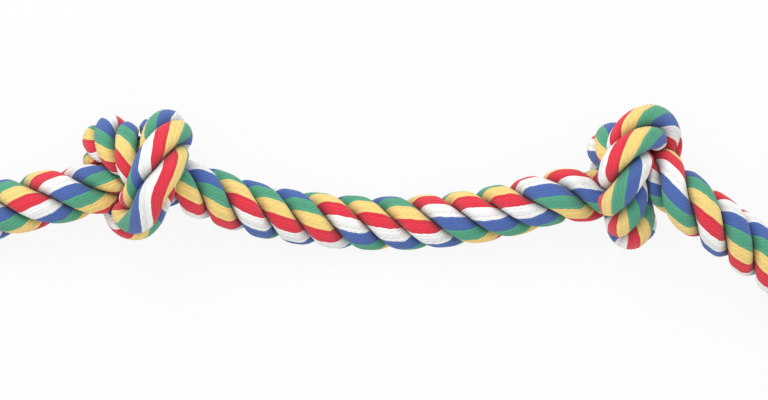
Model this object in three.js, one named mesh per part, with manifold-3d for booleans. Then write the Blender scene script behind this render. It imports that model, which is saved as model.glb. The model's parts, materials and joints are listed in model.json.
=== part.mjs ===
// Rope dog toy: one three-strand laid cotton rope with an overhand knot near each end and both ends frayed.
// Millimetres, +Z up. The toy lies on a surface at z = 0 and is seen from above, with +X along the rope.
import * as THREE from 'three';
import { mergeVertices } from 'three/addons/utils/BufferGeometryUtils.js';
import Module from 'manifold-3d';

// Rope
const ROPE_DIAMETER = 20;
const KNOT_ROPE_DIAMETER = 14.2; // the same rope where a knot draws it tight
const KNOT_CLEARANCE = 0.7; // between two passes of the rope in a knot
const LAY_LENGTH = 42; // along the rope, for one turn of a strand
const LAY_PHASE_DEGREES = 222; // of the first strand at mid span, from +Y towards +Z
const GROOVE_DEPTH = 3; // of the groove between two strands
const GROOVE_POWER = 3; // how late a strand's outside falls into the groove
const STRAND_GAP = 0.4; // between two strands
const PIECE_GAP = 0.3; // between two lengths of one strand
const YARN_GAP = 0.4; // between two colours' yarns where a strand comes apart
const FLAT_CUT = 2; // depth of the flats that the rope rests on
const TAPER_LENGTH = 17; // over which the rope draws in at a knot

// Frayed ends
const TASSEL_LENGTH = 45;
const TASSEL_SPREAD = 1.8; // sideways, from root to tip
const TASSEL_SWELL = 1.3; // upwards, from root to tip
const TUFT_LENGTH_SPREAD = 5; // between the longest tuft and the shortest
const FLOOR_CLEARANCE = 0.3; // under the tips

// Bends, each way from the pose in which the toy lies
const MIDDLE_BEND_DEGREES = 45;
const TAIL_BEND_DEGREES = 30;
const TASSEL_SWING_DEGREES = 25;
const BEND_MARGIN_DEGREES = 1; // left between two faces at the end of a bend
const BEND_CUT_HEIGHT = 200; // more than the toy's
const FLOOR_CUT_SIZE = 2000; // more than the toy's

// Counts
const STEPS_PER_LAY = 12;
const LOBE_POINTS = 8;
const SLICE_POINTS = 4;
const TUFT_STEPS = 4;
const TUFT_SHUFFLE = 7; // shares no factor with the number of tufts
const ROUTE_SAMPLES = 4000;

// Route of the rope's middle line: X and Y on the surface, then the height above the resting height
const LEFT_TAIL_ROUTE = [[-168, -9, 2], [-149, -4, 4], [-129, 0.8, 11]];
const SPAN_ROUTE = [
  [-67, 2, 16], [-54, -2.4, 11], [-38, -5.8, 5.5], [-20, -8.1, 1.5], [0, -9, 0],
  [20, -8.1, 1.5], [38, -5.8, 4.5], [54, -2.2, 8.5], [67, 1.5, 12.5],
];
const RIGHT_TAIL_ROUTE = [[115, 0, 33], [128, -9.6, 28.5], [144, -20.6, 19], [163, -32.5, 8]];

// Half of an overhand knot, from its middle outwards, in spacings of the passes: the other half is this one
// turned half round about Y
const KNOT_HALF_ROUTE = [
  [0, -1, 0], [-0.17, -1, -0.47], [-0.4, -0.87, -0.9], [-0.63, -0.53, -1.19], [-0.82, -0.08, -1.27],
  [-0.94, 0.38, -1.1], [-0.94, 0.73, -0.74], [-0.82, 0.9, -0.29], [-0.57, 0.83, 0.14], [-0.25, 0.58, 0.44],
  [0.09, 0.22, 0.5], [0.47, -0.07, 0.31], [0.96, -0.29, 0.17],
];
const LEFT_KNOT = { middle: [-94.5, 10.3], rollDegrees: 351, swingDegrees: 10, turnDegrees: 3 };
const RIGHT_KNOT = { middle: [94.5, 9.8], rollDegrees: 321, swingDegrees: 30, turnDegrees: 13 };

// Twist that each knot puts into the lay: share of the knot's length, then degrees
const LEFT_TWIST = [
  [-0.34, 100], [0.06, 25], [0.27, 70], [0.34, 50], [0.38, 25], [0.45, -75], [0.53, -110],
  [0.8, -100], [0.9, -50], [1.03, 0],
];
const RIGHT_TWIST = [[0.02, 0], [0.2, 50], [0.6, 50], [0.88, 90], [0.97, 60], [1.42, 35]];

// Place of each strand's red yarns where it comes apart, in turns round the strand from the way it faces
const LEFT_YARN_TURNS = [0.4, 0.9, 0.15];
const RIGHT_YARN_TURNS = [0.75, 0.7, 0.45];

const ROPE_RADIUS = ROPE_DIAMETER / 2;
const REST_HEIGHT = ROPE_RADIUS - FLAT_CUT;
const CUT_REACH = 1.6 * ROPE_RADIUS; // of a bend's cut, past the pivot and to each side of it
const STRAND_NAMES = ['a', 'b', 'c'];
const STRAND_COLOURS = { a: 0xd8364a, b: 0xe9c46e, c: 0x4a62a8 };
const YARN_COLOURS = { red: 0xdc3048, white: 0xf2f1ee, blue: 0x465ca6, green: 0x45966a, yellow: 0xecc66c };
const YARN_NAMES = Object.keys(YARN_COLOURS);
const COTTON_ROUGHNESS = 0.95;

const wasm = await Module();
wasm.setup();

const radians = THREE.MathUtils.degToRad;

// Route

function knotPoints({ middle, rollDegrees, swingDegrees, turnDegrees }) {
  const spacing = KNOT_ROPE_DIAMETER + KNOT_CLEARANCE;
  const angles = [rollDegrees, -swingDegrees, turnDegrees].map(radians);
  const turn = new THREE.Euler(...angles, 'ZYX');
  const half = KNOT_HALF_ROUTE.map(([x, y, z]) => new THREE.Vector3(x, y, z));
  const otherHalf = KNOT_HALF_ROUTE.slice(1).reverse().map(([x, y, z]) => new THREE.Vector3(-x, y, -z));
  const points = [...otherHalf, ...half].map((p) => p.applyEuler(turn).multiplyScalar(spacing));
  const lowest = Math.min(...points.map((p) => p.z)) - KNOT_ROPE_DIAMETER / 2;
  const place = new THREE.Vector3(middle[0], middle[1], -lowest - FLAT_CUT);
  return points.map((p) => p.add(place));
}

function freePoints(list) {
  return list.map(([x, y, lift]) => new THREE.Vector3(x, y, REST_HEIGHT + lift));
}

// Samples the route and carries a frame along it that never twists by itself, starting at mid span
function buildRoute() {
  const stretches = [
    freePoints(LEFT_TAIL_ROUTE), knotPoints(LEFT_KNOT), freePoints(SPAN_ROUTE), knotPoints(RIGHT_KNOT),
    freePoints(RIGHT_TAIL_ROUTE),
  ];
  const controls = stretches.flat();
  const curve = new THREE.CatmullRomCurve3(controls, false, 'centripetal');
  const points = curve.getPoints(ROUTE_SAMPLES);
  const lengths = [0];
  for (let i = 1; i < points.length; i += 1) {
    lengths.push(lengths[i - 1] + points[i].distanceTo(points[i - 1]));
  }
  const tangents = points.map((p, i) => {
    const before = points[Math.max(i - 1, 0)];
    const after = points[Math.min(i + 1, points.length - 1)];
    return after.clone().sub(before).normalize();
  });
  const lengthAtControl = (index) => lengths[Math.round((index / (controls.length - 1)) * ROUTE_SAMPLES)];
  const firsts = [0];
  stretches.forEach((stretch) => firsts.push(firsts[firsts.length - 1] + stretch.length));
  const [, leftKnot, span, rightKnot, rightTail] = firsts;
  const marks = {
    leftKnot: [lengthAtControl(leftKnot), lengthAtControl(span - 1)],
    rightKnot: [lengthAtControl(rightKnot), lengthAtControl(rightTail - 1)],
    middle: lengthAtControl(span + (SPAN_ROUTE.length - 1) / 2),
    end: lengths[lengths.length - 1],
  };
  const start = lengths.findIndex((s) => s >= marks.middle);
  const sides = [];
  sides[start] = squareTo(new THREE.Vector3(0, 1, 0), tangents[start]);
  for (let i = start + 1; i < points.length; i += 1) {
    sides[i] = squareTo(sides[i - 1], tangents[i]);
  }
  for (let i = start - 1; i >= 0; i -= 1) {
    sides[i] = squareTo(sides[i + 1], tangents[i]);
  }
  return { points, lengths, tangents, sides, marks };
}

function squareTo(side, tangent) {
  return side.clone().addScaledVector(tangent, -side.dot(tangent)).normalize();
}

const route = buildRoute();

function frameAt(s) {
  const { points, lengths, tangents, sides } = route;
  const after = lengths.findIndex((length) => length >= s);
  const i = Math.min(Math.max(after, 1), points.length - 1);
  const share = (s - lengths[i - 1]) / (lengths[i] - lengths[i - 1]);
  const point = points[i - 1].clone().lerp(points[i], share);
  const tangent = tangents[i - 1].clone().lerp(tangents[i], share).normalize();
  const side = squareTo(sides[i - 1].clone().lerp(sides[i], share), tangent);
  const up = tangent.clone().cross(side);
  return { point, tangent, side, up };
}

// The rope draws in from its full radius to its radius in a knot
function ropeRadiusAt(s) {
  const outside = [route.marks.leftKnot, route.marks.rightKnot].map(([first, last]) => {
    return Math.max(first - s, s - last, 0);
  });
  const share = THREE.MathUtils.smoothstep(Math.min(...outside), 0, TAPER_LENGTH);
  return THREE.MathUtils.lerp(KNOT_ROPE_DIAMETER / 2, ROPE_RADIUS, share);
}

// Strands

// A third of the round rope with a rounded outside, as angles and radii about the rope's middle line
function lobe(ropeRadius) {
  const grooveRadius = ropeRadius - (GROOVE_DEPTH * ropeRadius) / ROPE_RADIUS;
  const thirdAngle = Math.PI / 3;
  const edgeAngle = thirdAngle - Math.asin(STRAND_GAP / 2 / grooveRadius);
  const section = [{ angle: 0, radius: STRAND_GAP / 2 / Math.sin(thirdAngle) }];
  for (let j = 0; j < LOBE_POINTS; j += 1) {
    const angle = edgeAngle * ((2 * j) / (LOBE_POINTS - 1) - 1);
    const fall = Math.abs(angle / edgeAngle) ** GROOVE_POWER;
    section.push({ angle, radius: THREE.MathUtils.lerp(ropeRadius, grooveRadius, fall) });
  }
  return section;
}

// A smooth curve through places and values, level before the first and after the last
function smoothCurve(list) {
  const curve = new THREE.CubicInterpolant(list.map(([place]) => place), list.map(([, value]) => value), 1);
  curve.settings = { endingStart: THREE.ZeroSlopeEnding, endingEnd: THREE.ZeroSlopeEnding };
  return (place) => curve.evaluate(place)[0];
}

const leftTwist = smoothCurve(LEFT_TWIST);
const rightTwist = smoothCurve(RIGHT_TWIST);

function knotShare(s, [first, last]) {
  return (s - first) / (last - first);
}

// The way that a strand faces, from the route's side direction towards its up direction
function strandTurn(s, strand) {
  const { leftKnot, rightKnot, middle } = route.marks;
  const turns = (s - middle) / LAY_LENGTH - strand / STRAND_NAMES.length;
  const twist = leftTwist(knotShare(s, leftKnot)) + rightTwist(knotShare(s, rightKnot));
  return radians(LAY_PHASE_DEGREES + twist) + 2 * Math.PI * turns;
}

function strandRing(s, strand) {
  const { point, side, up } = frameAt(s);
  const turn = strandTurn(s, strand);
  return lobe(ropeRadiusAt(s)).map(({ angle, radius }) => {
    const across = radius * Math.cos(turn + angle);
    const over = radius * Math.sin(turn + angle);
    return point.clone().addScaledVector(side, across).addScaledVector(up, over);
  });
}

// Both walls of a strand split their faces along the same lines, so that two strands lie wall to wall
function strandGeometry(from, to, strand) {
  const steps = Math.ceil(((to - from) * STEPS_PER_LAY) / LAY_LENGTH);
  const rings = [];
  for (let i = 0; i <= steps; i += 1) {
    rings.push(strandRing(THREE.MathUtils.lerp(from, to, i / steps), strand));
  }
  return skin(rings, (j) => j === 0);
}

// Joins rings of points into one closed body; splitForward says which way a face is split
function skin(rings, splitForward) {
  const count = rings[0].length;
  const index = [];
  for (let i = 0; i + 1 < rings.length; i += 1) {
    for (let j = 0; j < count; j += 1) {
      const near = i * count + j;
      const nearNext = i * count + ((j + 1) % count);
      const far = near + count;
      const farNext = nearNext + count;
      if (splitForward(j)) {
        index.push(near, nearNext, farNext, near, farNext, far);
      } else {
        index.push(near, nearNext, far, nearNext, farNext, far);
      }
    }
  }
  const last = (rings.length - 1) * count;
  for (let j = 1; j + 1 < count; j += 1) {
    index.push(0, j + 1, j);
    index.push(last, last + j, last + j + 1);
  }
  const geometry = new THREE.BufferGeometry();
  const positions = rings.flat().flatMap((p) => [p.x, p.y, p.z]);
  geometry.setAttribute('position', new THREE.Float32BufferAttribute(positions, 3));
  geometry.setIndex(index);
  return geometry;
}

// Cuts

function solidOf(geometry) {
  const bare = geometry.clone();
  bare.deleteAttribute('normal');
  bare.deleteAttribute('uv');
  const merged = mergeVertices(bare);
  const mesh = new wasm.Mesh({
    numProp: 3,
    vertProperties: new Float32Array(merged.attributes.position.array),
    triVerts: new Uint32Array(merged.index.array),
  });
  return new wasm.Manifold(mesh);
}

function geometryOf(solid) {
  const mesh = solid.getMesh();
  const geometry = new THREE.BufferGeometry();
  geometry.setAttribute('position', new THREE.Float32BufferAttribute(mesh.vertProperties, 3));
  geometry.setIndex([...mesh.triVerts]);
  return geometry;
}

// Everything below the surface that the toy lies on
function floorCutter() {
  const box = new THREE.BoxGeometry(FLOOR_CUT_SIZE, FLOOR_CUT_SIZE, FLOOR_CUT_SIZE);
  box.translate(0, 0, -FLOOR_CUT_SIZE / 2);
  return solidOf(box);
}

// Everything past a bend's pivot, leaving a blunt upright edge: ahead is 1 past it along the rope, else -1
function bendCutter(pivot, ahead, bendDegrees) {
  const { point, tangent } = frameAt(pivot);
  const slope = Math.tan(radians((bendDegrees + BEND_MARGIN_DEGREES) / 2));
  const edge = -PIECE_GAP / 2;
  const outline = new THREE.Shape([
    new THREE.Vector2(edge, 0),
    new THREE.Vector2(edge - CUT_REACH * slope, -CUT_REACH),
    new THREE.Vector2(2 * CUT_REACH, -CUT_REACH),
    new THREE.Vector2(2 * CUT_REACH, CUT_REACH),
    new THREE.Vector2(edge - CUT_REACH * slope, CUT_REACH),
  ]);
  const cutter = new THREE.ExtrudeGeometry(outline, { depth: BEND_CUT_HEIGHT, bevelEnabled: false });
  cutter.translate(0, 0, -BEND_CUT_HEIGHT / 2);
  cutter.rotateZ(Math.atan2(ahead * tangent.y, ahead * tangent.x));
  cutter.translate(point.x, point.y, 0);
  return solidOf(cutter);
}

function cut(geometry, cutters) {
  return geometryOf(cutters.reduce((solid, cutter) => solid.subtract(cutter), solidOf(geometry)));
}

// Sub-parts

function cottonMesh(name, geometry, colour) {
  geometry.computeVertexNormals();
  const look = { color: colour, roughness: COTTON_ROUGHNESS, metalness: 0 };
  const material = new THREE.MeshStandardMaterial(look);
  const mesh = new THREE.Mesh(geometry, material);
  mesh.name = name;
  return mesh;
}

// The three strands of one stretch of the rope
function strandMeshes(stretchName, from, to, cutters) {
  return STRAND_NAMES.map((letter, strand) => {
    const geometry = cut(strandGeometry(from, to, strand), cutters);
    return cottonMesh(`${stretchName}_strand_${letter}`, geometry, STRAND_COLOURS[letter]);
  });
}

// How far a strand's section reaches from its own middle in one direction
function reach(section, middle, angle) {
  const direction = new THREE.Vector2(Math.cos(angle), Math.sin(angle));
  const distances = section.map((corner, j) => {
    const edge = section[(j + 1) % section.length].clone().sub(corner);
    const offset = corner.clone().sub(middle);
    const crossing = direction.cross(edge);
    const along = offset.cross(edge) / crossing;
    const share = offset.cross(direction) / crossing;
    return share >= 0 && share <= 1 && along > 0 ? along : 0;
  });
  return Math.max(...distances);
}

// One colour's share of a strand's section, with the rope's middle line at the origin and the strand along +X
function yarnSlice(yarn, redTurn) {
  const section = lobe(ROPE_RADIUS).map(({ angle, radius }) => {
    return new THREE.Vector2(radius * Math.cos(angle), radius * Math.sin(angle));
  });
  const middle = new THREE.Vector2(ROPE_RADIUS / 2, 0);
  const sliceAngle = (2 * Math.PI) / YARN_NAMES.length;
  const heading = sliceAngle * yarn + 2 * Math.PI * redTurn;
  const from = (distance, angle) => {
    return new THREE.Vector2(distance * Math.cos(angle), distance * Math.sin(angle)).add(middle);
  };
  const slice = [from(YARN_GAP / 2 / Math.sin(sliceAngle / 2), heading)];
  for (let j = 0; j < SLICE_POINTS; j += 1) {
    const side = (2 * j) / (SLICE_POINTS - 1) - 1;
    const wall = reach(section, middle, heading + (side * sliceAngle) / 2);
    const angle = heading + side * (sliceAngle / 2 - Math.asin(YARN_GAP / 2 / wall));
    slice.push(from(reach(section, middle, angle), angle));
  }
  return slice;
}

// One colour's yarns, loose from the end of a strand: away is 1 at the rope's far end, -1 at its near end
function tuftGeometry(root, strand, yarn, redTurn, away, length) {
  const { point, tangent, side, up } = frameAt(root);
  const along = new THREE.Vector3(away * tangent.x, away * tangent.y, 0).normalize();
  const across = new THREE.Vector3(0, 0, 1).cross(along);
  const turn = strandTurn(root, strand);
  const seats = yarnSlice(yarn, redTurn).map((corner) => {
    const turned = corner.clone().rotateAround(new THREE.Vector2(), turn);
    return side.clone().multiplyScalar(turned.x).addScaledVector(up, turned.y);
  });
  const slope = Math.tan(radians((TASSEL_SWING_DEGREES + BEND_MARGIN_DEGREES) / 2));
  const widening = (TASSEL_SPREAD - 1) / TASSEL_LENGTH;
  const bendFace = (offset) => (PIECE_GAP / 2 + offset * slope) / (1 - offset * slope * widening);
  const tipHeight = ROPE_RADIUS * TASSEL_SWELL + FLOOR_CLEARANCE;
  const rings = [];
  for (let i = 0; i <= TUFT_STEPS; i += 1) {
    const ring = seats.map((seat) => {
      const offset = seat.dot(across);
      const distance = i === 0 ? bendFace(Math.abs(offset)) : (length * i) / TUFT_STEPS;
      const share = distance / TASSEL_LENGTH;
      const height = THREE.MathUtils.lerp(point.z, tipHeight, share);
      const swell = THREE.MathUtils.lerp(1, TASSEL_SWELL, share);
      const corner = new THREE.Vector3(point.x, point.y, height + seat.z * swell);
      corner.addScaledVector(along, distance);
      return corner.addScaledVector(across, offset * (1 + widening * distance));
    });
    rings.push(ring);
  }
  return skin(away > 0 ? rings : rings.reverse(), () => false);
}

// The yarns of all three strands at one end of the rope, a tuft for each colour
function tasselMeshes(tasselName, root, yarnTurns, away) {
  const tuftCount = STRAND_NAMES.length * YARN_NAMES.length;
  return STRAND_NAMES.flatMap((letter, strand) => YARN_NAMES.map((yarnName, yarn) => {
    const shuffled = ((strand * YARN_NAMES.length + yarn) * TUFT_SHUFFLE) % tuftCount;
    const length = TASSEL_LENGTH - (TUFT_LENGTH_SPREAD * shuffled) / tuftCount;
    const geometry = tuftGeometry(root, strand, yarn, yarnTurns[strand], away, length);
    return cottonMesh(`${tasselName}_${letter}_${yarnName}`, geometry, YARN_COLOURS[yarnName]);
  }));
}

// Assembly

function buildToy() {
  const { leftKnot, rightKnot, middle, end } = route.marks;
  const half = PIECE_GAP / 2;
  const floor = floorCutter();
  const leftBend = leftKnot[0] - TAPER_LENGTH;
  const rightBend = rightKnot[1] + TAPER_LENGTH;
  const leftSplit = leftKnot[1] + TAPER_LENGTH;
  const rightSplit = rightKnot[0] - TAPER_LENGTH;
  const leftEnd = ROPE_RADIUS;
  const rightEnd = end - ROPE_RADIUS;
  const before = (pivot, bend) => bendCutter(pivot, 1, bend);
  const after = (pivot, bend) => bendCutter(pivot, -1, bend);
  const toy = new THREE.Group();
  toy.add(
    ...tasselMeshes('left_tassel', leftEnd, LEFT_YARN_TURNS, -1),
    ...strandMeshes('left_tail', 0, leftBend + CUT_REACH,
      [after(leftEnd, TASSEL_SWING_DEGREES), before(leftBend, TAIL_BEND_DEGREES), floor]),
    ...strandMeshes('left_knot', leftBend - CUT_REACH, leftSplit - half,
      [after(leftBend, TAIL_BEND_DEGREES), floor]),
    ...strandMeshes('left_span', leftSplit + half, middle + CUT_REACH,
      [before(middle, MIDDLE_BEND_DEGREES), floor]),
    ...strandMeshes('right_span', middle - CUT_REACH, rightSplit - half,
      [after(middle, MIDDLE_BEND_DEGREES), floor]),
    ...strandMeshes('right_knot', rightSplit + half, rightBend + CUT_REACH,
      [before(rightBend, TAIL_BEND_DEGREES), floor]),
    ...strandMeshes('right_tail', rightBend - CUT_REACH, end,
      [after(rightBend, TAIL_BEND_DEGREES), before(rightEnd, TASSEL_SWING_DEGREES), floor]),
    ...tasselMeshes('right_tassel', rightEnd, RIGHT_YARN_TURNS, 1),
  );
  return toy;
}

// The origin is under the middle of the toy
function centre(toy) {
  const middle = new THREE.Box3().setFromObject(toy, true).getCenter(new THREE.Vector3());
  toy.position.set(-middle.x, -middle.y, 0);
  return toy;
}

export default centre(buildToy());
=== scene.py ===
"""Rope dog toy, dressed: three cotton strands of five coloured yarns, two overhand knots, frayed ends.
Metres, +Z up. The toy lies on a surface at z = 0 and the camera looks straight down on it."""
import json
import math

import bpy
import numpy as np
from mathutils import Matrix, Vector


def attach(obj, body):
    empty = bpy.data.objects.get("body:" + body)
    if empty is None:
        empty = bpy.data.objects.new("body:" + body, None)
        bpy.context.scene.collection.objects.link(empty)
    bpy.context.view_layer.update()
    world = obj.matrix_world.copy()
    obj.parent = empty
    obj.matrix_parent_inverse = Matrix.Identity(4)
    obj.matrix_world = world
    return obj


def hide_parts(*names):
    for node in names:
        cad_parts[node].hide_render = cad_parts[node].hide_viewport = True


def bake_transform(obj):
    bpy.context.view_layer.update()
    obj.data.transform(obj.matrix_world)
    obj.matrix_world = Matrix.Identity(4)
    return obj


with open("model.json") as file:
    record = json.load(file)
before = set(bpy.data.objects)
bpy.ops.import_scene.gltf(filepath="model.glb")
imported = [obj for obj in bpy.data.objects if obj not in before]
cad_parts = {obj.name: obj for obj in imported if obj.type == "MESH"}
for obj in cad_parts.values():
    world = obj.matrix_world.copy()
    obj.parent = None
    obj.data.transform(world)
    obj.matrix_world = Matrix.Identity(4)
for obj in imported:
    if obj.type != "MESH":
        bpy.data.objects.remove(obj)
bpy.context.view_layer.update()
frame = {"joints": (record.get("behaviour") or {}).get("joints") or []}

# Rope
ROPE_DIAMETER = 0.020
KNOT_ROPE_DIAMETER = 0.0142  # of the solids' rope in a knot
KNOT_CLEARANCE = 0.0007  # between two passes of that rope
FLAT_CUT = 0.002  # off the underside of the solids, where they lie on the surface
TAPER_LENGTH = 0.017  # beside a knot, over which the rope's thickness changes
LAY_LENGTH = 0.042  # of one turn of a strand
LAY_PHASE_DEGREES = 222  # the way that strand a faces at mid span
SOFT_DIAMETER = 0.0208  # of the cotton, which stands a little proud of the solids
SOFT_KNOT_DIAMETER = 0.0198  # the same in a knot, before its passes press each other flat
LOOSENING = 0.0016  # by which the cotton is thicker at a frayed end
LOOSE_LENGTH = 0.075  # over which it grows thicker
FLOOR_GAP = 0.0002
FLOOR_SOFTNESS = 0.0008

# Section of a strand
GROOVE_SHARE = 0.42  # depth of the groove between two strands, in rope radii
KNOT_GROOVE_SHARE = 0.5  # the same in a knot, where the bends open the strands
GROOVE_POWER = 3.4  # higher for a narrower groove
STRAND_GAP = 0.0002
CORE_SHARE = 0.04  # radius at which the strands meet in the rope's middle, in rope radii
OUTER_SHARE = 0.78  # of a strand's yarns that lie on the outside of the rope
BAND_TURNS = 2.169  # turns of the yarns round their strand in one lay
BAND_PHASES = [0.032, -0.115, -0.293]  # turn of each strand's red yarns at mid span
YARNS_PER_BAND = 4
POINTS_PER_YARN = 5
YARN_RELIEF = 0.00022  # depth of the grooves between yarns
RING_STEP = 0.001

# Passes of a knot that press on each other
PRESS_GAP = 0.00015  # left between two passes
PRESS_SOFTNESS = 0.0007
PRESS_REACH = 0.020  # along the rope, past which two stretches count as two passes
PRESS_RANGE = 0.040  # between two middle lines, past which the passes are too far apart to touch
BEND_LIMIT = 0.92  # of the bend's radius, which the inside of a bend may fill

# Least values to divide by
LEAST_DISTANCE = 1e-9
LEAST_BEND = 1e-3
LEAST_REACH = 1e-6

# Frayed ends
TASSEL_LENGTH = 0.045
TASSEL_SPREAD = 1.8  # most width at the tips, in widths of the rope's end
TASSEL_SWELL = 1.3  # height at the tips, in heights of the rope's end
TUFT_LENGTH_SPREAD = 0.005
TUFT_SHUFFLE = 7  # steps by which the tufts' lengths are mixed
FLOOR_CLEARANCE = 0.0003
INNER_YARNS = 3  # of each tuft, besides those that show in the rope
OUTER_DEPTH = 0.93  # of the rope's radius, at which the yarns that show lie
INNER_DEPTH = 0.5  # the same for the other yarns
YARN_ROOT = 0.006  # length of a loose yarn inside the end of the rope
YARN_STEP = 0.0006
UNLAY_LENGTH = 0.0035  # out of the rope's end, over which a yarn leaves its turn in the rope
OPEN_LENGTH = 0.012  # before the rope's end, over which the yarns part
OPEN_RELIEF = 0.0006  # depth of the grooves between yarns at the rope's end
END_DRAW = 0.14  # share by which a strand is thinner at its very end
END_LENGTH = 0.004
YARN_PLIES = 3
POINTS_PER_PLY = 6
PLY_RADIUS = 0.00039
PLY_REACH = 0.0004  # from the yarn's middle line to the middle of a ply
PLY_PITCH = 0.008
PLY_PARTING = 1.1  # by which the plies' reach grows at the cut end
PARTING_RANGE = (0, 2)  # share of that growth that one ply takes
PLY_UNEVENNESS = 5  # steps by which one ply may be shorter than another
TIP_SHARE = 0.02  # of a ply's section that is left at its blunt tip
FLUFF_LENGTH = 0.009  # before the cut end, over which the plies part
YARN_THICKNESS = (0.85, 1.15)
YARN_WAVE = 0.0006
WAVE_RANGE = (0.5, 1.5)  # share of the wave that one yarn takes
WAVE_LENGTH = (0.009, 0.016)
YARN_SPREAD = (0.5, 1.0)  # share of the tassel's spread that one yarn takes
YARN_WANDER = 0.0035
WANDER_POWER = 1.5  # higher for yarns that stay together longer
SIDE_WANDER = (0, 0.7)  # mean and spread, in shares of the wander
UP_WANDER = (-0.4, 0.5)  # the same
YARN_LENGTH_SPREAD = 0.006

# Cotton
COTTON_ROUGHNESS = 0.92
COTTON_SPECULAR = 0.15
SHEEN_WEIGHT = 0.2
SHEEN_ROUGHNESS = 0.6
FIBRE_LENGTH = 0.002
FIBRES_PER_PLY = 3.0
FIBRE_DETAIL = 2
PATCH_LENGTH = 0.012
PATCH_DETAIL = 1
OWN_TONE = 0.14  # lightness that differs from yarn to yarn
FIBRE_TONE = 0.16  # from fibre to fibre
PATCH_TONE = 0.16  # from patch to patch along a yarn
PLY_PAINTED_SHADE = 0.04  # painted light and shade: lighter on a ply's ridge and darker beside it
BUMP_STRENGTH = 0.6
BUMP_DEPTH = 0.0002
RIDGE_BUMP = 0.4  # height of a ply's ridge, in heights of the fibres
EDGE_WAVE = 0.12  # of a colour's width, by which its edge wanders
EDGE_WAVE_LENGTH = 0.003
EDGE_DETAIL = 2
CREASE_PAINTED_SHADE = 0.68  # painted shade: by which the cotton's colour is darkened deep in a crease
CREASE_SHADE_POWER = 6  # higher for a narrower band of painted shade in the crease between two strands
CONTACT_SHADE_REACH = 0.0012  # from another pass of the rope, within which painted shade begins
LANE_MARGIN = 0.02  # of a tube's lane on the map OFBake, left free at each side

ROUTE_SAMPLES = 4000
SEED = 7

# Route of the rope's middle line: X and Y on the surface, then the height above the resting height
LEFT_TAIL_ROUTE = [[-0.168, -0.009, 0.002], [-0.149, -0.004, 0.004], [-0.129, 0.0008, 0.011]]
SPAN_ROUTE = [
    [-0.067, 0.002, 0.016], [-0.054, -0.0024, 0.011], [-0.038, -0.0058, 0.0055],
    [-0.020, -0.0081, 0.0015], [0, -0.009, 0], [0.020, -0.0081, 0.0015],
    [0.038, -0.0058, 0.0045], [0.054, -0.0022, 0.0085], [0.067, 0.0015, 0.0125],
]
RIGHT_TAIL_ROUTE = [
    [0.115, 0, 0.033], [0.128, -0.0096, 0.0285], [0.144, -0.0206, 0.019], [0.163, -0.0325, 0.008],
]
# Half of an overhand knot, from its middle outwards, in spacings of the passes
KNOT_HALF_ROUTE = [
    [0, -1, 0], [-0.17, -1, -0.47], [-0.4, -0.87, -0.9], [-0.63, -0.53, -1.19],
    [-0.82, -0.08, -1.27], [-0.94, 0.38, -1.1], [-0.94, 0.73, -0.74], [-0.82, 0.9, -0.29],
    [-0.57, 0.83, 0.14], [-0.25, 0.58, 0.44], [0.09, 0.22, 0.5], [0.47, -0.07, 0.31],
    [0.96, -0.29, 0.17],
]
# Place of a knot's middle on the surface, then its turns in degrees
LEFT_KNOT = {"middle": [-0.0945, 0.0103], "roll": 351, "swing": 10, "turn": 3}
RIGHT_KNOT = {"middle": [0.0945, 0.0098], "roll": 321, "swing": 30, "turn": 13}

# What each knot does to the lay: share of the knot's length, twist of the rope in degrees, then turns of
# the yarns in strands a, b and c
LEFT_TWIST = [
    [-0.34, 100, -0.3, 0.4, -0.25], [0.06, 25, -0.45, 0.1, -0.1], [0.27, 70, -0.25, 0, -0.35],
    [0.34, 50, -0.15, 0, -0.25], [0.38, 25, -0.1, 0, -0.1], [0.45, -75, 0.1, 0.1, 0.2],
    [0.53, -110, 0.3, 0.3, 0.4], [0.8, -100, 0.6, 0.7, 0.5], [0.9, -50, 0.15, 0.3, -0.05],
    [1.03, 0, 0, 0, 0],
]
RIGHT_TWIST = [
    [0.02, 0, 0, 0, 0], [0.2, 50, -0.1, -0.45, 0.2], [0.6, 50, -0.15, -0.45, 0.15],
    [0.88, 90, 0.05, -0.4, 0.25], [0.97, 60, 0.15, -0.35, 0.35], [1.42, 35, 0.15, -0.8, 0.15],
]

# Camera, light and floor
PHOTO_WIDTH_PIXELS = 768
ROPE_WIDTH_PIXELS = 52
CAMERA_DISTANCE = 3.0
CAMERA_REACH = 100.0  # furthest that the camera sees
CAMERA_PLANE = 0.014  # height at which the photograph's scale holds
SENSOR_WIDTH = 36.0  # in millimetres
FLOOR_SIZE = 24.0
FLOOR_COLOUR = (0.88, 0.88, 0.88, 1)
FLOOR_ROUGHNESS = 0.95
FLOOR_WHITENESS = 0.88  # share of the floor, where it is seen as the background, that takes no shadow
SKY_STRENGTH = 0.78
KEY_POWER = 8.5
KEY_SIZE = 0.8
KEY_PLACE = (-0.35, 0.85, 1.25)

ROPE_RADIUS = ROPE_DIAMETER / 2
REST_HEIGHT = ROPE_RADIUS - FLAT_CUT
STRANDS = ["a", "b", "c"]
SCENE = bpy.context.scene


def linear(red, green, blue):
    """A colour as a screen shows it, 0 to 255, as the shader takes it."""
    shares = np.array([red, green, blue]) / 255
    parts = np.where(shares <= 0.04045, shares / 12.92, ((shares + 0.055) / 1.055) ** 2.4)
    return (*parts, 1.0)


# In their order round a strand
YARN_COLOURS = {
    "red": linear(232, 56, 74),
    "white": linear(250, 250, 248),
    "blue": linear(78, 107, 176),
    "green": linear(86, 168, 134),
    "yellow": linear(250, 218, 134),
}
YARNS_PER_STRAND = YARNS_PER_BAND * len(YARN_COLOURS)
COLUMNS = YARNS_PER_STRAND * POINTS_PER_YARN


# Route

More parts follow.
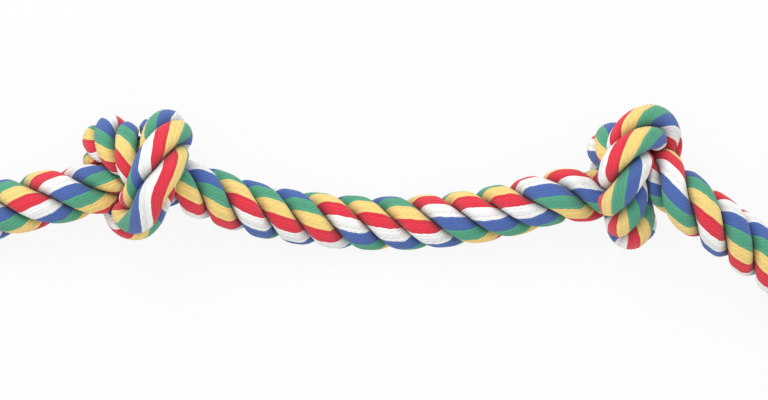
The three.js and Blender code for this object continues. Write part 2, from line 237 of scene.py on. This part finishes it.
def catmull_rom(controls, samples):
    """Evenly timed points of a centripetal Catmull-Rom curve through the controls."""
    count = len(controls)
    padded = np.vstack([2 * controls[0] - controls[1], controls, 2 * controls[-1] - controls[-2]])
    place = np.linspace(0, count - 1, samples + 1)
    first = np.minimum(place.astype(int), count - 2)
    share = (place - first)[:, None]
    p0, p1, p2, p3 = (padded[first + k] for k in range(4))
    chords = ((p0, p1), (p1, p2), (p2, p3))
    d0, d1, d2 = (np.sqrt(np.linalg.norm(q - p, axis=1))[:, None] for p, q in chords)
    t1 = ((p1 - p0) / d0 - (p2 - p0) / (d0 + d1) + (p2 - p1) / d1) * d1
    t2 = ((p2 - p1) / d1 - (p3 - p1) / (d1 + d2) + (p3 - p2) / d2) * d1
    square = 3 * (p2 - p1) - 2 * t1 - t2
    cube = 2 * (p1 - p2) + t1 + t2
    return p1 + t1 * share + square * share ** 2 + cube * share ** 3


def knot_points(knot):
    """Points of a knot's middle line, turned as the knot lies and set down on the surface."""
    spacing = KNOT_ROPE_DIAMETER + KNOT_CLEARANCE
    roll, swing, turn = (math.radians(knot[name]) for name in ("roll", "swing", "turn"))
    turned = Matrix.Rotation(turn, 3, "Z") @ Matrix.Rotation(-swing, 3, "Y")
    rotation = turned @ Matrix.Rotation(roll, 3, "X")
    half = np.array(KNOT_HALF_ROUTE, float)
    other_half = half[:0:-1] * [-1, 1, -1]
    points = np.vstack([other_half, half]) @ np.array(rotation).T * spacing
    lowest = points[:, 2].min() - KNOT_ROPE_DIAMETER / 2
    return points + [*knot["middle"], -lowest - FLAT_CUT]


def free_points(stretch):
    """Points of the middle line of a stretch of free rope."""
    return np.array(stretch, float) + [0, 0, REST_HEIGHT]


def square_to(side, tangent):
    """The direction nearest to side that is square to the tangent."""
    side = side - tangent * np.dot(side, tangent)
    return side / np.linalg.norm(side)


def build_route():
    """Samples of the rope's middle line in the part's frame, with a frame that never twists by itself."""
    stretches = [
        free_points(LEFT_TAIL_ROUTE),
        knot_points(LEFT_KNOT),
        free_points(SPAN_ROUTE),
        knot_points(RIGHT_KNOT),
        free_points(RIGHT_TAIL_ROUTE),
    ]
    controls = np.vstack(stretches)
    points = catmull_rom(controls, ROUTE_SAMPLES)
    lengths = np.concatenate([[0], np.cumsum(np.linalg.norm(np.diff(points, axis=0), axis=1))])
    tangents = np.gradient(points, axis=0)
    tangents /= np.linalg.norm(tangents, axis=1)[:, None]
    bends = np.gradient(tangents, lengths, axis=0)
    firsts = np.cumsum([0] + [len(stretch) for stretch in stretches])

    def length_at(control):
        return lengths[round(control / (len(controls) - 1) * ROUTE_SAMPLES)]

    marks = {
        "left_knot": (length_at(firsts[1]), length_at(firsts[2] - 1)),
        "right_knot": (length_at(firsts[3]), length_at(firsts[4] - 1)),
        "middle": length_at(firsts[2] + (len(SPAN_ROUTE) - 1) / 2),
        "end": lengths[-1],
    }
    start = int(np.searchsorted(lengths, marks["middle"]))
    sides = np.zeros_like(points)
    sides[start] = square_to(np.array([0.0, 1.0, 0.0]), tangents[start])
    for i in range(start + 1, len(points)):
        sides[i] = square_to(sides[i - 1], tangents[i])
    for i in range(start - 1, -1, -1):
        sides[i] = square_to(sides[i + 1], tangents[i])
    joint = next(j for j in frame["joints"] if j["name"] == "middle_bend")
    points += np.array(joint["pos_m"]) - points[start]
    return {
        "points": points,
        "lengths": lengths,
        "tangents": tangents,
        "sides": sides,
        "bends": bends,
        "marks": marks,
    }


ROUTE = build_route()
MARKS = ROUTE["marks"]


def along_route(name, s):
    """One of the route's lists of vectors at the lengths s."""
    return np.stack([np.interp(s, ROUTE["lengths"], ROUTE[name][:, k]) for k in range(3)], axis=1)


def frames_at(s):
    """Points of the route at the lengths s, and its tangent, side and up directions there."""
    point = along_route("points", s)
    tangent = along_route("tangents", s)
    tangent /= np.linalg.norm(tangent, axis=1)[:, None]
    side = along_route("sides", s)
    side -= tangent * (side * tangent).sum(axis=1)[:, None]
    side /= np.linalg.norm(side, axis=1)[:, None]
    return point, tangent, side, np.cross(tangent, side)


def smooth(share):
    """A share from 0 to 1 that starts and ends gently."""
    share = np.clip(share, 0, 1)
    return share * share * (3 - 2 * share)


def eased(s, free, tight):
    """A value that goes from what it is in the free rope to what it is in a knot."""
    knots = (MARKS["left_knot"], MARKS["right_knot"])
    outside = [np.maximum.reduce([first - s, s - last, 0 * s]) for first, last in knots]
    return tight + (free - tight) * smooth(np.minimum(*outside) / TAPER_LENGTH)


def rope_radius(s):
    """Half of the cotton's thickness. The lay loosens towards the frayed ends."""
    loose = smooth(1 - np.minimum(s, MARKS["end"] - s) / LOOSE_LENGTH)
    return (eased(s, SOFT_DIAMETER, SOFT_KNOT_DIAMETER) + LOOSENING * loose) / 2


# Strands

def smooth_curve(rows, column, place):
    """A smooth curve through one column of a list, level before the first row and after the last."""
    rows = np.array(rows, float)
    places, values = rows[:, 0], rows[:, column]
    slopes = np.zeros_like(values)
    slopes[1:-1] = (values[2:] - values[:-2]) / (places[2:] - places[:-2])
    place = np.clip(place, places[0], places[-1])
    first = np.clip(np.searchsorted(places, place, side="right") - 1, 0, len(places) - 2)
    width = places[first + 1] - places[first]
    share = (place - places[first]) / width
    rise = values[first + 1] - values[first]
    bow = (1 - share) * (slopes[first] * width - rise) - share * (slopes[first + 1] * width - rise)
    return values[first] + share * (rise + (1 - share) * bow)


def twisted(s, column):
    """One column of what the two knots do to the lay, at the lengths s."""
    total = np.zeros_like(s)
    for rows, (first, last) in ((LEFT_TWIST, MARKS["left_knot"]), (RIGHT_TWIST, MARKS["right_knot"])):
        total += smooth_curve(rows, column, (s - first) / (last - first))
    return total


def strand_turn(s, strand):
    """The way that a strand faces, from the route's side direction towards its up direction."""
    turns = (s - MARKS["middle"]) / LAY_LENGTH - strand / len(STRANDS)
    return np.radians(LAY_PHASE_DEGREES + twisted(s, 1)) + 2 * math.pi * turns


def band_turn(s, strand):
    """The place of a strand's red yarns, in turns round the strand from the way that it faces."""
    return BAND_PHASES[strand] + twisted(s, 2 + strand) - BAND_TURNS * (s - MARKS["middle"]) / LAY_LENGTH


def section(turns, s):
    """Angle and radius about the rope's middle line, in rope radii, of places round a strand's section."""
    turns = (turns + 0.5) % 1.0 - 0.5
    groove = eased(s, GROOVE_SHARE, KNOT_GROOVE_SHARE)[:, None]
    edge = OUTER_SHARE / 2
    outside = np.clip(turns / edge, -1, 1)
    angle = outside * math.pi / len(STRANDS)
    radius = 1 - groove * np.abs(outside) ** GROOVE_POWER
    inward = np.clip((np.abs(turns) - edge) / (0.5 - edge), 0, 1)
    return angle, radius * (1 - (1 - CORE_SHARE) * inward)


def near_end(s, length):
    """From 0 to 1 over that length of rope before a frayed end."""
    return smooth(1 - (np.minimum(s, MARKS["end"] - s) - ROPE_RADIUS) / length)


def yarn_relief(column_turns, s):
    """Depth of the grooves between a strand's yarns, below the yarns' round tops."""
    across = (column_turns * YARNS_PER_STRAND) % 1.0
    depth = YARN_RELIEF + (OPEN_RELIEF - YARN_RELIEF) * near_end(s, OPEN_LENGTH)
    return depth[:, None] * (np.sqrt(np.clip(1 - (2 * across - 1) ** 2, 0, 1)) - 1)


def strand_offsets(s, strand):
    """Rings of points round one strand, from the rope's middle line, and how near they are to its edges.
    Each column of points follows a yarn."""
    _, _, side, up = frames_at(s)
    column_turns = np.arange(COLUMNS) / COLUMNS
    angle, share = section(column_turns[None, :] + band_turn(s, strand)[:, None], s)
    whole = rope_radius(s) * (1 - END_DRAW * near_end(s, END_LENGTH))
    radius = share * whole[:, None] + yarn_relief(column_turns, s) * np.sqrt(share)
    edge = np.abs(angle) / (math.pi / len(STRANDS))
    gap = STRAND_GAP / 2 / np.maximum(radius, STRAND_GAP)
    turn = strand_turn(s, strand)[:, None] + angle - np.sign(angle) * gap * edge ** 2
    across = (radius * np.cos(turn))[..., None] * side[:, None, :]
    over = (radius * np.sin(turn))[..., None] * up[:, None, :]
    return across + over, edge


def soft_least(a, b, softness):
    """The lesser of two values, with a rounded change from one to the other."""
    share = np.clip(0.5 + 0.5 * (b - a) / softness, 0, 1)
    return b * (1 - share) + a * share - softness * share * (1 - share)


def pressed(offsets, s):
    """Flattens the rope where two passes of a knot press on each other, and on the inside of a tight bend.
    Gives the new points, and the painted shade that they take for lying near such a place."""
    reach = np.arange(0, MARKS["end"], RING_STEP / 2)
    others = along_route("points", reach)
    points = along_route("points", s)
    bends = along_route("bends", s)
    result = np.empty_like(offsets)
    painted_contact_shade = np.empty(offsets.shape[:2])
    for i, centre in enumerate(points):
        distance = np.linalg.norm(offsets[i], axis=1)
        heading = offsets[i] / np.maximum(distance, LEAST_DISTANCE)[:, None]
        limit = BEND_LIMIT / np.maximum(heading @ bends[i], LEAST_BEND)
        away = others[np.abs(reach - s[i]) > PRESS_REACH] - centre
        away = away[np.linalg.norm(away, axis=1) < PRESS_RANGE]
        if len(away):
            walls = (away ** 2).sum(axis=1)[None, :] / (2 * np.maximum(heading @ away.T, LEAST_REACH))
            limit = np.minimum(limit, walls.min(axis=1) - PRESS_GAP / 2)
        result[i] = heading * np.minimum(soft_least(distance, limit, PRESS_SOFTNESS), distance)[:, None]
        # Painted shade: darker near another pass or the inside of a tight bend
        painted_contact_shade[i] = smooth(1 - (limit - distance) / CONTACT_SHADE_REACH)
    return result, painted_contact_shade


def on_floor(points):
    """Flattens what would reach below the surface that the toy lies on."""
    height = points[..., 2]
    points[..., 2] = -soft_least(-height, np.full_like(height, -FLOOR_GAP), FLOOR_SOFTNESS)
    return points


def strand_grid(s, strand):
    """Rings of points round one strand, the directions that its surface faces there, and the painted shade
    that it takes in a crease."""
    step = s[1] - s[0]
    longer = np.concatenate([[s[0] - step], s, [s[-1] + step]])
    offsets, edge = strand_offsets(longer, strand)
    offsets, painted_contact_shade = pressed(offsets, longer)
    # Painted shade: darker towards a strand's edges and beside other passes, in the creases
    painted_crease_shade = np.maximum(edge ** CREASE_SHADE_POWER, painted_contact_shade)
    grid = on_floor(offsets + along_route("points", longer)[:, None, :])
    around = np.roll(grid, -1, axis=1) - np.roll(grid, 1, axis=1)
    facing = np.cross(around[1:-1], grid[2:] - grid[:-2])
    return grid[1:-1], facing / np.linalg.norm(facing, axis=2)[..., None], painted_crease_shade[1:-1]


# Meshes

def grid_faces(rings, columns):
    """Ring and column of the corners of a closed tube's side faces, then of its two ends."""
    i, j = (axis.ravel() for axis in np.meshgrid(np.arange(rings - 1), np.arange(columns), indexing="ij"))
    sides = np.stack([np.stack([i, i, i + 1, i + 1], 1), np.stack([j, j + 1, j + 1, j], 1)], 2)
    turn = np.arange(columns)
    near = np.stack([0 * turn, turn[::-1]], 1)
    far = np.stack([0 * turn + rings - 1, turn], 1)
    return sides, near, far


def lane_map(ring, turn, first_ring, steps, rows, lane, lanes):
    """Places on a map without overlaps, on which a long tube is cut into rows."""
    row = np.minimum(first_ring, steps - 1) * rows // steps
    across = np.clip(ring * rows / steps - row, 0, 1)
    up = (lane * rows + row + LANE_MARGIN + (1 - 2 * LANE_MARGIN) * turn) / (lanes * rows)
    return np.column_stack([across, up])


def tube_mesh(name, grids, lengths, girth, numbers):
    """One mesh of several closed tubes. A grid is rings of points, and lengths holds the rings' places
    along each tube. The map yarn has the place along a tube, and the turn round it after the tube's number.
    The map OFBake has no overlaps."""
    faces, yarn_map, bake_map, rounded = [], [], [], []
    start = 0
    total = sum(length[-1] - length[0] for length in lengths)
    # Rows of each tube on the map OFBake, which give it much the same scale along the tube and round it
    rows = max(1, round(math.sqrt(total / len(grids) / (girth * len(grids)))))
    for lane, (grid, length) in enumerate(zip(grids, lengths)):
        rings, columns, _ = grid.shape
        sides, near, far = grid_faces(rings, columns)
        for corners in (sides, near[None], far[None]):
            faces += (start + corners[..., 0] * columns + corners[..., 1] % columns).tolist()
            rounded += [corners is sides] * len(corners)
            ring, turn = corners[..., 0].ravel(), corners[..., 1].ravel() / columns
            first_ring = np.repeat(corners[..., 0].min(axis=1), corners.shape[1])
            yarn_map.append(np.column_stack([length[ring], numbers[lane] + turn]))
            bake_map.append(lane_map(ring, turn, first_ring, rings - 1, rows, lane, len(grids)))
        start += rings * columns
    mesh = bpy.data.meshes.new(name)
    mesh.from_pydata(np.vstack([grid.reshape(-1, 3) for grid in grids]).tolist(), [], faces)
    for map_name, places in (("yarn", yarn_map), ("OFBake", bake_map)):
        layer = mesh.uv_layers.new(name=map_name)
        layer.data.foreach_set("uv", np.vstack(places).astype(np.float32).ravel())
    mesh.polygons.foreach_set("use_smooth", rounded)
    mesh.update()
    return mesh


def corner_facings(facing):
    """The directions at all corners of a tube's faces: the flat ends keep their own."""
    rings, columns, _ = facing.shape
    sides, near, far = grid_faces(rings, columns)
    corners = sides.reshape(-1, 2)
    ends = np.zeros((len(near) + len(far), 3))
    return np.vstack([facing[corners[:, 0], corners[:, 1] % columns], ends])


def set_facings(mesh, facings):
    """Makes the tubes' points face as told, so that two pieces of one strand meet without a line."""
    mesh.normals_split_custom_set(np.vstack([corner_facings(facing) for facing in facings]))


def set_painted_crease_shades(mesh, painted_crease_shades):
    """Keeps with each point the painted shade that it takes in a crease."""
    values = np.concatenate([painted_crease_shade.ravel() for painted_crease_shade in painted_crease_shades])
    depth = mesh.attributes.new("painted_crease_shade", "FLOAT", "POINT")
    depth.data.foreach_set("value", values.astype(np.float32))


def new_piece(name, mesh, material):
    mesh.materials.append(material)
    piece = bpy.data.objects.new(name, mesh)
    SCENE.collection.objects.link(piece)
    return piece


def rope_piece(name, first, last, strands, material):
    """A stretch of some of the rope's strands as one piece."""
    rings = max(2, round((last - first) / RING_STEP)) + 1
    s = np.linspace(first, last, rings)
    grids, facings, painted_crease_shades = zip(*(strand_grid(s, strand) for strand in strands))
    girth = 2 * math.pi * ROPE_RADIUS / len(STRANDS) + 2 * ROPE_RADIUS
    mesh = tube_mesh(name, grids, [s] * len(grids), girth, [0] * len(grids))
    set_facings(mesh, facings)
    set_painted_crease_shades(mesh, painted_crease_shades)
    return new_piece(name, mesh, material)


# Frayed ends

def yarn_seat(s, strand, place, depth):
    """Where a yarn lies in the rope, from the rope's middle line: place is its turn round the strand."""
    _, _, side, up = frames_at(s)
    angle, share = section(place + band_turn(s, strand)[:, None], s)
    turn = strand_turn(s, strand) + angle[:, 0]
    reach = share[:, 0] * depth * rope_radius(s)
    return (reach * np.cos(turn))[:, None] * side + (reach * np.sin(turn))[:, None] * up


def tassel_line(root, away, distance):
    """Middle line of the loose yarns, from inside the rope out to where they lie level, and the level
    direction that it takes."""
    point, tangent, _, _ = (value[0] for value in frames_at(np.array([root])))
    level = math.hypot(tangent[0], tangent[1])
    along = away * np.array([tangent[0], tangent[1], 0]) / level
    out = np.clip(distance, 0, None)
    line = along_route("points", root + away * np.minimum(distance, 0)) + np.outer(out, along)
    share = np.clip(out / TASSEL_LENGTH, 0, 1)
    slope = away * tangent[2] / level
    tip_height = ROPE_RADIUS * TASSEL_SWELL + FLOOR_CLEARANCE
    line[:, 2] += (tip_height - point[2]) * smooth(share) + slope * out * (1 - share) ** 2
    return line, along


def yarn_path(root, away, strand, place, depth, length, random):
    """Middle line of one loose yarn, out of the end of the rope, and the distances along it."""
    distance = np.arange(-YARN_ROOT, length, YARN_STEP)
    out = np.clip(distance, 0, None)
    share = out / TASSEL_LENGTH
    unlaid = np.minimum(distance, 0) + UNLAY_LENGTH * (1 - np.exp(-out / UNLAY_LENGTH))
    seat = yarn_seat(root + away * unlaid, strand, place, depth)
    line, along = tassel_line(root, away, distance)
    across = np.cross([0, 0, 1], along)
    spread = 1 + (TASSEL_SPREAD - 1) * share * random.uniform(*YARN_SPREAD)
    swell = 1 + (TASSEL_SWELL - 1) * share
    wander = YARN_WANDER * share ** WANDER_POWER
    cycle = 2 * math.pi * (out / random.uniform(*WAVE_LENGTH) + random.uniform(0, 1))
    wave = YARN_WAVE * smooth(out / WAVE_LENGTH[0]) * random.uniform(*WAVE_RANGE)
    sideways = seat @ across * spread + wander * random.normal(*SIDE_WANDER) + wave * np.sin(cycle)
    upwards = seat[:, 2] * swell + wander * random.normal(*UP_WANDER) + wave * np.cos(cycle)
    path = line + np.outer(seat @ along, along) + np.outer(sideways, across) + np.outer(upwards, [0, 0, 1])
    lowest = PLY_RADIUS + PLY_REACH + FLOOR_GAP
    path[:, 2] = -soft_least(-path[:, 2], np.full(len(path), -lowest), lowest)
    return path, distance


def ply_grids(path, distance, random):
    """Rings of points round the plies of one loose yarn, which twist together and part at the cut end."""
    tangent = np.gradient(path, axis=0)
    tangent /= np.linalg.norm(tangent, axis=1)[:, None]
    side = np.cross(tangent, [0, 0, 1])
    side /= np.linalg.norm(side, axis=1)[:, None]
    up = np.cross(tangent, side)
    thickness = random.uniform(*YARN_THICKNESS)
    first_turn = random.uniform(0, 1)
    around = 2 * math.pi * np.arange(POINTS_PER_PLY) / POINTS_PER_PLY
    ring = np.cos(around)[None, :, None] * side[:, None] + np.sin(around)[None, :, None] * up[:, None]
    parting = smooth(1 - (distance[-1] - distance) / FLUFF_LENGTH)
    grids = []
    for ply in range(YARN_PLIES):
        rings = len(path) - random.randint(0, PLY_UNEVENNESS)
        left = distance[rings - 1] - distance
        blunt = np.sqrt(np.clip(1 - (1 - left / (2 * PLY_RADIUS)).clip(0, 1) ** 2, TIP_SHARE, 1))
        turn = 2 * math.pi * (distance / PLY_PITCH + first_turn + ply / YARN_PLIES)
        reach = PLY_REACH * thickness * (1 + PLY_PARTING * random.uniform(*PARTING_RANGE) * parting)
        middle = path + (reach * np.cos(turn))[:, None] * side + (reach * np.sin(turn))[:, None] * up
        radius = (PLY_RADIUS * thickness * blunt)[:, None, None]
        grids.append(on_floor(middle[:, None] + radius * ring)[:rings])
    return grids


def tuft_mesh(name, root, away, strand, band, random):
    """One colour's loose yarns at the end of one strand: those that show in the rope, then the rest."""
    tufts = len(STRANDS) * len(YARN_COLOURS)
    shuffled = ((strand * len(YARN_COLOURS) + band) * TUFT_SHUFFLE) % tufts
    length = TASSEL_LENGTH - TUFT_LENGTH_SPREAD * shuffled / tufts
    grids, lengths, numbers = [], [], []
    for count, depth in ((YARNS_PER_BAND, OUTER_DEPTH), (INNER_YARNS, INNER_DEPTH)):
        for yarn in range(count):
            place = (band - 0.5 + (yarn + 0.5) / count) / len(YARN_COLOURS)
            own_length = length - random.uniform(0, YARN_LENGTH_SPREAD)
            path, distance = yarn_path(root, away, strand, place, depth, own_length, random)
            for grid in ply_grids(path, distance, random):
                lengths.append(distance[:len(grid)])
                numbers.append(len(grids))
                grids.append(grid)
    return tube_mesh(name, grids, lengths, 2 * math.pi * PLY_RADIUS, numbers)


# Materials

def new_material(name):
    material = bpy.data.materials.new(name)
    material.use_nodes = True
    return material, material.node_tree.nodes, material.node_tree.links


def math_node(nodes, links, operation, *values):
    """One step of arithmetic on numbers and other nodes' results."""
    node = nodes.new("ShaderNodeMath")
    node.operation = operation
    for socket, value in zip(node.inputs, values):
        if isinstance(value, (int, float)):
            socket.default_value = value
        else:
            links.new(value, socket)
    return node.outputs[0]


def yarn_places(nodes, links):
    """The length along a tube and the turn round it."""
    uv = nodes.new("ShaderNodeUVMap")
    uv.uv_map = "yarn"
    split = nodes.new("ShaderNodeSeparateXYZ")
    links.new(uv.outputs["UV"], split.inputs["Vector"])
    return split.outputs["X"], split.outputs["Y"]


def noise(nodes, links, x, y, detail):
    """Noise about 0.5 over two coordinates."""
    place = nodes.new("ShaderNodeCombineXYZ")
    links.new(x, place.inputs["X"])
    links.new(y, place.inputs["Y"])
    texture = nodes.new("ShaderNodeTexNoise")
    texture.noise_dimensions = "2D"
    texture.inputs["Scale"].default_value = 1.0
    texture.inputs["Detail"].default_value = detail
    links.new(place.outputs["Vector"], texture.inputs["Vector"])
    return texture.outputs["Fac"]


def random_of(nodes, links, number):
    """A random share that is always the same for the same number."""
    texture = nodes.new("ShaderNodeTexWhiteNoise")
    texture.noise_dimensions = "1D"
    links.new(number, texture.inputs["W"])
    return texture.outputs["Value"]


def cotton_detail(nodes, links, yarns_around):
    """A number of each yarn's own, the ridges of its twisted plies, and its fibres and patches."""
    along, turn = yarn_places(nodes, links)
    yarns = math_node(nodes, links, "MULTIPLY", turn, yarns_around)
    own = random_of(nodes, links, math_node(nodes, links, "FLOOR", yarns))
    plies = math_node(nodes, links, "MULTIPLY", along, YARN_PLIES / PLY_PITCH)
    slant = math_node(nodes, links, "ADD", math_node(nodes, links, "ADD", plies, yarns), own)
    ridge = math_node(nodes, links, "SINE", math_node(nodes, links, "MULTIPLY", slant, 2 * math.pi))
    fibre_along = math_node(nodes, links, "MULTIPLY", along, 1 / FIBRE_LENGTH)
    fibre_across = math_node(nodes, links, "MULTIPLY", slant, FIBRES_PER_PLY)
    fibre = noise(nodes, links, fibre_along, fibre_across, FIBRE_DETAIL)
    patch_along = math_node(nodes, links, "MULTIPLY", along, 1 / PATCH_LENGTH)
    patch = noise(nodes, links, patch_along, yarns, PATCH_DETAIL)
    return own, ridge, fibre, patch


def painted_crease_tone(nodes, links):
    """Painted shade: lightness of the cotton, which falls in a crease."""
    depth = nodes.new("ShaderNodeAttribute")
    depth.attribute_name = "painted_crease_shade"
    return math_node(nodes, links, "MULTIPLY_ADD", depth.outputs["Fac"], -CREASE_PAINTED_SHADE, 1.0)


def cotton_tone(nodes, links, own, ridge, fibre, patch):
    """Lightness of the cotton, from all that changes it, with painted shade in the creases and painted
    light and shade on the plies.
    """
    base = 1 - (OWN_TONE + FIBRE_TONE + PATCH_TONE) / 2
    tone = math_node(nodes, links, "MULTIPLY_ADD", own, OWN_TONE, base)
    tone = math_node(nodes, links, "MULTIPLY_ADD", fibre, FIBRE_TONE, tone)
    tone = math_node(nodes, links, "MULTIPLY_ADD", patch, PATCH_TONE, tone)
    # Painted light and shade: lighter on each ply's ridge, darker beside it
    tone = math_node(nodes, links, "MULTIPLY_ADD", ridge, PLY_PAINTED_SHADE, tone)
    # Painted shade in the creases
    return math_node(nodes, links, "MULTIPLY", tone, painted_crease_tone(nodes, links))


def finish_cotton(nodes, links, colour, yarns_around):
    """Soft dull cotton: yarns that differ a little, twisted plies, and fine fibres along them."""
    shader = nodes["Principled BSDF"]
    shader.inputs["Roughness"].default_value = COTTON_ROUGHNESS
    shader.inputs["Specular IOR Level"].default_value = COTTON_SPECULAR
    shader.inputs["Sheen Weight"].default_value = SHEEN_WEIGHT
    shader.inputs["Sheen Roughness"].default_value = SHEEN_ROUGHNESS
    own, ridge, fibre, patch = cotton_detail(nodes, links, yarns_around)
    toned = nodes.new("ShaderNodeVectorMath")
    toned.operation = "SCALE"
    if isinstance(colour, tuple):
        toned.inputs[0].default_value = colour[:3]
    else:
        links.new(colour, toned.inputs[0])
    links.new(cotton_tone(nodes, links, own, ridge, fibre, patch), toned.inputs["Scale"])
    links.new(toned.outputs["Vector"], shader.inputs["Base Color"])
    bump = nodes.new("ShaderNodeBump")
    bump.inputs["Strength"].default_value = BUMP_STRENGTH
    bump.inputs["Distance"].default_value = BUMP_DEPTH
    links.new(math_node(nodes, links, "MULTIPLY_ADD", ridge, RIDGE_BUMP, fibre), bump.inputs["Height"])
    links.new(bump.outputs["Normal"], shader.inputs["Normal"])


def rope_material():
    """Five coloured bands of yarn round each strand."""
    material, nodes, links = new_material("rope_cotton")
    along, turn = yarn_places(nodes, links)
    wave_along = math_node(nodes, links, "MULTIPLY", along, 1 / EDGE_WAVE_LENGTH)
    wave_across = math_node(nodes, links, "MULTIPLY", turn, YARNS_PER_STRAND)
    wave = noise(nodes, links, wave_along, wave_across, EDGE_DETAIL)
    shift = (0.5 - EDGE_WAVE / 2) / len(YARN_COLOURS)
    shifted = math_node(nodes, links, "MULTIPLY_ADD", wave, EDGE_WAVE / len(YARN_COLOURS), turn)
    shifted = math_node(nodes, links, "ADD", shifted, shift)
    ramp = nodes.new("ShaderNodeValToRGB")
    ramp.color_ramp.interpolation = "CONSTANT"
    while len(ramp.color_ramp.elements) < len(YARN_COLOURS):
        ramp.color_ramp.elements.new(0.5)
    for number, colour in enumerate(YARN_COLOURS.values()):
        ramp.color_ramp.elements[number].position = number / len(YARN_COLOURS)
        ramp.color_ramp.elements[number].color = colour
    links.new(math_node(nodes, links, "FRACT", shifted), ramp.inputs["Fac"])
    finish_cotton(nodes, links, ramp.outputs["Color"], YARNS_PER_STRAND)
    return material


def yarn_material(colour):
    """Loose yarns of one colour."""
    material, nodes, links = new_material(f"{colour}_yarn")
    finish_cotton(nodes, links, YARN_COLOURS[colour], 1)
    return material


# Stage

def background_ray(nodes, links):
    """1 for a ray that shows the background: from the camera, or by way of gloss or glass."""
    path = nodes.new("ShaderNodeLightPath").outputs
    seen = math_node(nodes, links, "MAXIMUM", path["Is Camera Ray"], path["Is Glossy Ray"])
    return math_node(nodes, links, "MAXIMUM", seen, path["Is Transmission Ray"])


def floor_material():
    """Pale and dull, and nearly white where it is the background, so that it still takes a shadow."""
    material, nodes, links = new_material("pale_floor")
    shader = nodes["Principled BSDF"]
    shader.inputs["Base Color"].default_value = FLOOR_COLOUR
    shader.inputs["Roughness"].default_value = FLOOR_ROUGHNESS
    glow = nodes.new("ShaderNodeEmission")
    mix = nodes.new("ShaderNodeMixShader")
    seen = background_ray(nodes, links)
    links.new(math_node(nodes, links, "MULTIPLY", seen, FLOOR_WHITENESS), mix.inputs["Fac"])
    links.new(shader.outputs["BSDF"], mix.inputs[1])
    links.new(glow.outputs["Emission"], mix.inputs[2])
    links.new(mix.outputs["Shader"], nodes["Material Output"].inputs["Surface"])
    return material


def build_stage():
    half = FLOOR_SIZE / 2
    corners = [(-half, -half, 0), (half, -half, 0), (half, half, 0), (-half, half, 0)]
    mesh = bpy.data.meshes.new("floor")
    mesh.from_pydata(corners, [], [(0, 1, 2, 3)])
    new_piece("floor", mesh, floor_material())


def build_light():
    """A white sky all round, and one soft lamp that gives the shadows."""
    SCENE.view_settings.view_transform = "Standard"
    world = bpy.data.worlds.new("studio")
    SCENE.world = world
    world.use_nodes = True
    nodes, links = world.node_tree.nodes, world.node_tree.links
    seen = background_ray(nodes, links)
    background = nodes["Background"]
    background.inputs["Color"].default_value = (1, 1, 1, 1)
    strength = math_node(nodes, links, "MULTIPLY_ADD", seen, 1 - SKY_STRENGTH, SKY_STRENGTH)
    links.new(strength, background.inputs["Strength"])
    lamp = bpy.data.lights.new("key", "AREA")
    lamp.energy = KEY_POWER
    lamp.size = KEY_SIZE
    key = bpy.data.objects.new("key", lamp)
    key.location = KEY_PLACE
    key.rotation_euler = (-Vector(KEY_PLACE)).to_track_quat("-Z", "Y").to_euler()
    key.visible_camera = False
    SCENE.collection.objects.link(key)


def build_camera():
    """Looks straight down on the middle of the photograph, which is the origin of the route's lists."""
    camera = bpy.data.cameras.new("camera")
    frame_width = PHOTO_WIDTH_PIXELS * ROPE_DIAMETER / ROPE_WIDTH_PIXELS
    camera.sensor_width = SENSOR_WIDTH
    camera.lens = SENSOR_WIDTH * CAMERA_DISTANCE / frame_width
    camera.clip_end = CAMERA_REACH
    eye = bpy.data.objects.new("camera", camera)
    middle = ROUTE["points"][np.searchsorted(ROUTE["lengths"], MARKS["middle"])]
    photo_middle = middle - np.array(SPAN_ROUTE[len(SPAN_ROUTE) // 2])
    eye.location = (photo_middle[0], photo_middle[1], CAMERA_PLANE + CAMERA_DISTANCE)
    SCENE.collection.objects.link(eye)
    SCENE.camera = eye


# Toy


def build_middle(cotton, first, last):
    """The free span, one piece of all three strands."""
    middle = rope_piece("middle_rope", first, last, range(len(STRANDS)), cotton)
    solids = [f"{half}_span_strand_{letter}" for half in ("left", "right") for letter in STRANDS]
    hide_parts(*solids)
    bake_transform(middle)


def build_knot(half, cotton, first, last):
    """A knot is pulled tight, so it moves as one."""
    for strand, letter in enumerate(STRANDS):
        knot = rope_piece(f"{half}_knot_cotton_{letter}", first, last, [strand], cotton)
        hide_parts(f"{half}_knot_strand_{letter}")
        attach(knot, f"{half}_half")


def build_tail(half, cotton, knot_end, tip):
    """A tail, from the knot that it comes out of to its frayed end, one piece for each strand."""
    first, last = sorted((knot_end, tip))
    for strand, letter in enumerate(STRANDS):
        tail = rope_piece(f"{half}_tail_cotton_{letter}", first, last, [strand], cotton)
        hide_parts(f"{half}_tail_strand_{letter}")
        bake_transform(tail)


def build_tassel(half, yarns, root, away, random):
    """Loose yarns out of the end of the rope, with their roots inside it."""
    point, tangent, _, _ = (value[0] for value in frames_at(np.array([root])))
    for strand, letter in enumerate(STRANDS):
        for band, colour in enumerate(YARN_COLOURS):
            name = f"{half}_tassel_{letter}_{colour}_yarns"
            tuft = new_piece(name, tuft_mesh(name, root, away, strand, band, random), yarns[colour])
            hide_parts(f"{half}_tassel_{letter}_{colour}")
            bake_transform(tuft)


def build_toy():
    cotton = rope_material()
    yarns = {colour: yarn_material(colour) for colour in YARN_COLOURS}
    random = np.random.RandomState(SEED)
    left_first, left_last = MARKS["left_knot"]
    right_first, right_last = MARKS["right_knot"]
    left_split = left_last + TAPER_LENGTH
    right_split = right_first - TAPER_LENGTH
    left_tip = ROPE_RADIUS
    right_tip = MARKS["end"] - ROPE_RADIUS
    build_middle(cotton, left_split, right_split)
    build_knot("left", cotton, left_first, left_split)
    build_knot("right", cotton, right_split, right_last)
    build_tail("left", cotton, left_first, left_tip)
    build_tail("right", cotton, right_last, right_tip)
    build_tassel("left", yarns, left_tip, -1, random)
    build_tassel("right", yarns, right_tip, 1, random)


build_camera()
build_stage()
build_light()
build_toy()
